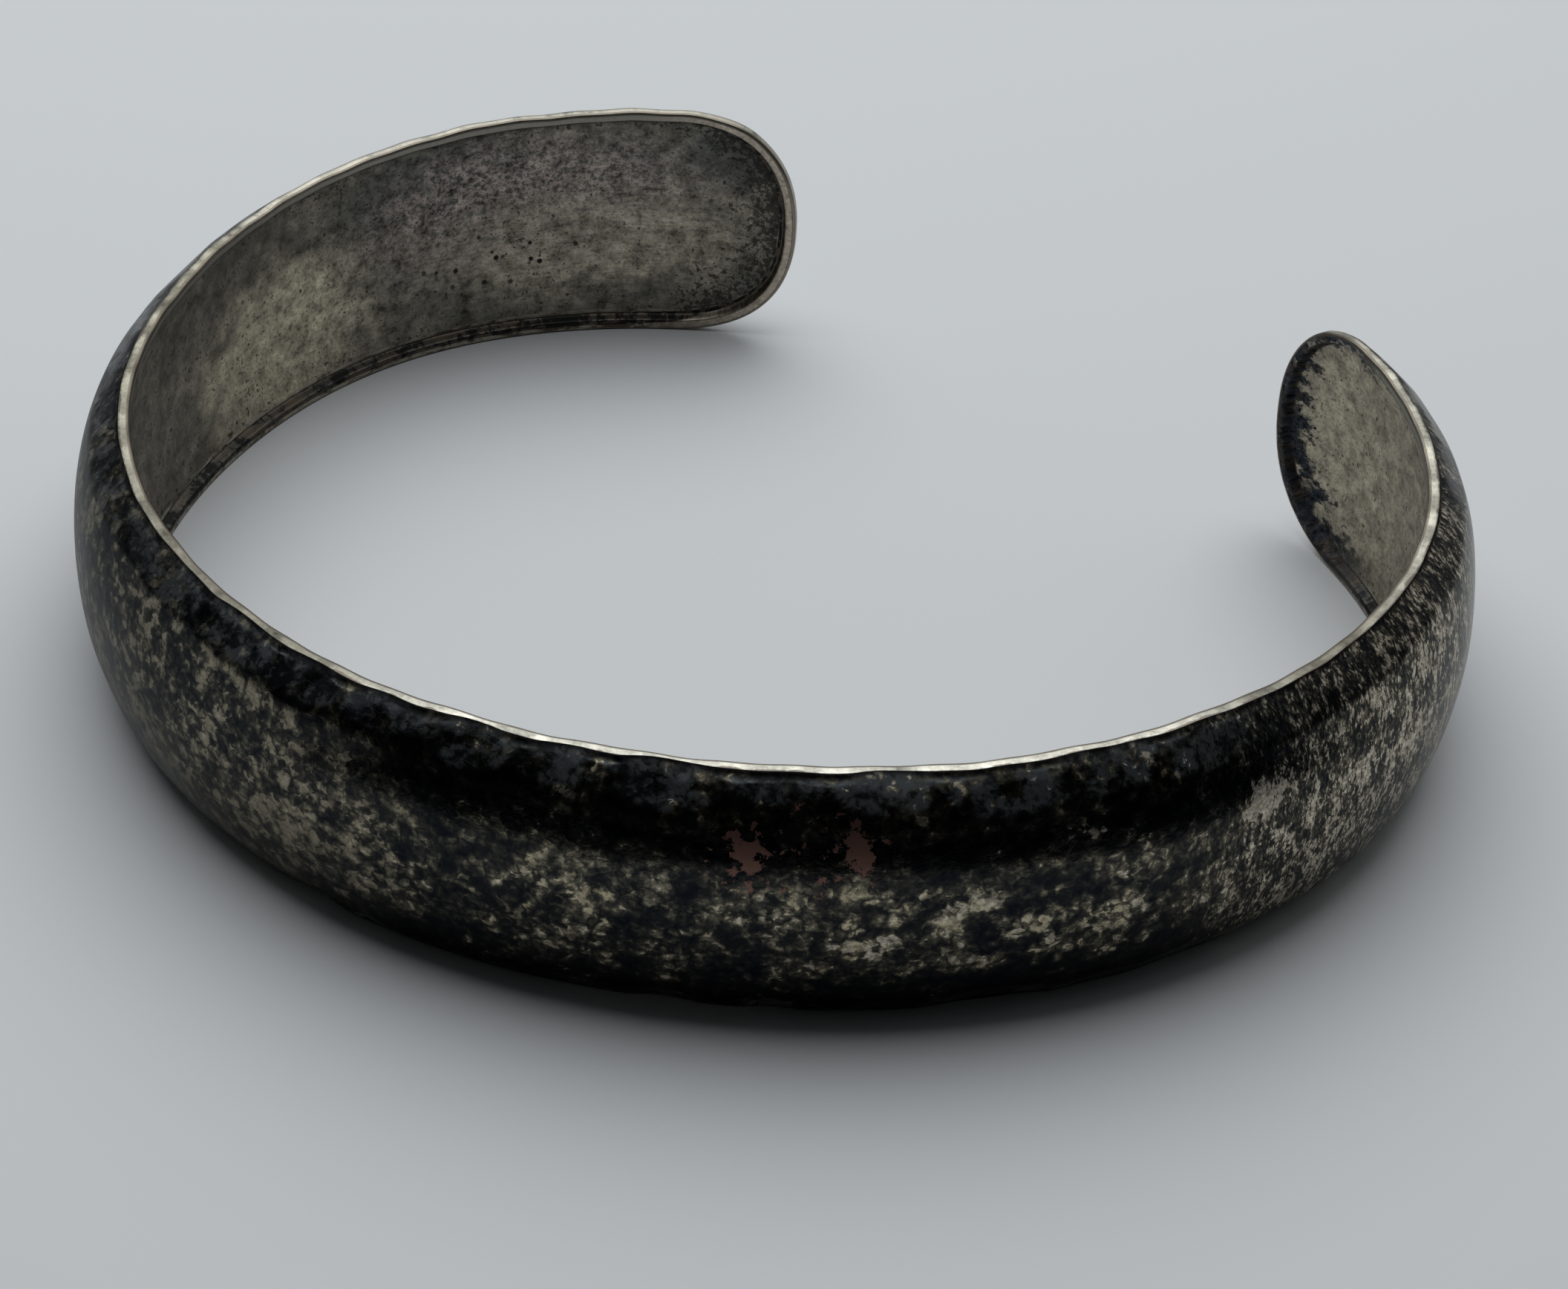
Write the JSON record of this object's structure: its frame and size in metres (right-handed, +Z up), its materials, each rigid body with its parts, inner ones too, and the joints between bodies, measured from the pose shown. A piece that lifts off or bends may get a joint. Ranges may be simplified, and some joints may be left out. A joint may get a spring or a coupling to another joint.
{
  "type": "cuff bracelet",
  "caption": "Open cuff bracelet: a domed metal band with a recessed inner face and rounded ends, slipped onto the wrist through its gap.",
  "frame": {"origin": "below the middle of the outline box, at the level of the lower edge that the band lies on", "axes": "+Z up along the wrist's axis, +Y toward the open gap, +X toward the right end as seen from the front of the band"},
  "size_m": [0.0662, 0.056, 0.013],
  "materials": {
    "silver": "sterling silver with heavy black tarnish, worn bright on the rims and in speckles"
  },
  "bodies": {
    "root": {"cuff_band": "silver"}
  },
  "joints": []
}
